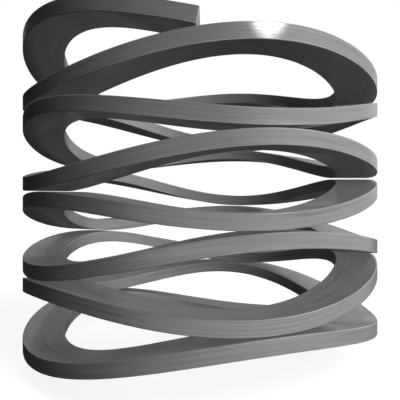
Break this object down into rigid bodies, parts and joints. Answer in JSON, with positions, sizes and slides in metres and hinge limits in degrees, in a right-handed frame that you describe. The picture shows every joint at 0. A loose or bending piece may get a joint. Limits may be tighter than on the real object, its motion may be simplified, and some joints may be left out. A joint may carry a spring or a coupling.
{
  "type": "compression wave spring",
  "caption": "Crest-to-crest wave spring: flat steel wire wound on edge into a wavy right-hand coil that pushes along its axis, both ends cut square.",
  "frame": {"origin": "on the axis of the coil, level with the lowest point of the wire", "axes": "+Z along the axis of the coil, from the lower end of the wire to the upper one; -Y towards the cut upper end of the wire"},
  "size_m": [0.025, 0.025, 0.0223],
  "materials": {
    "spring_steel": "satin grey spring steel with fine rolling marks along the wire, a thin oil film and slightly brighter edges"
  },
  "bodies": {
    "root": {"wave_spring": "spring_steel"}
  },
  "joints": []
}
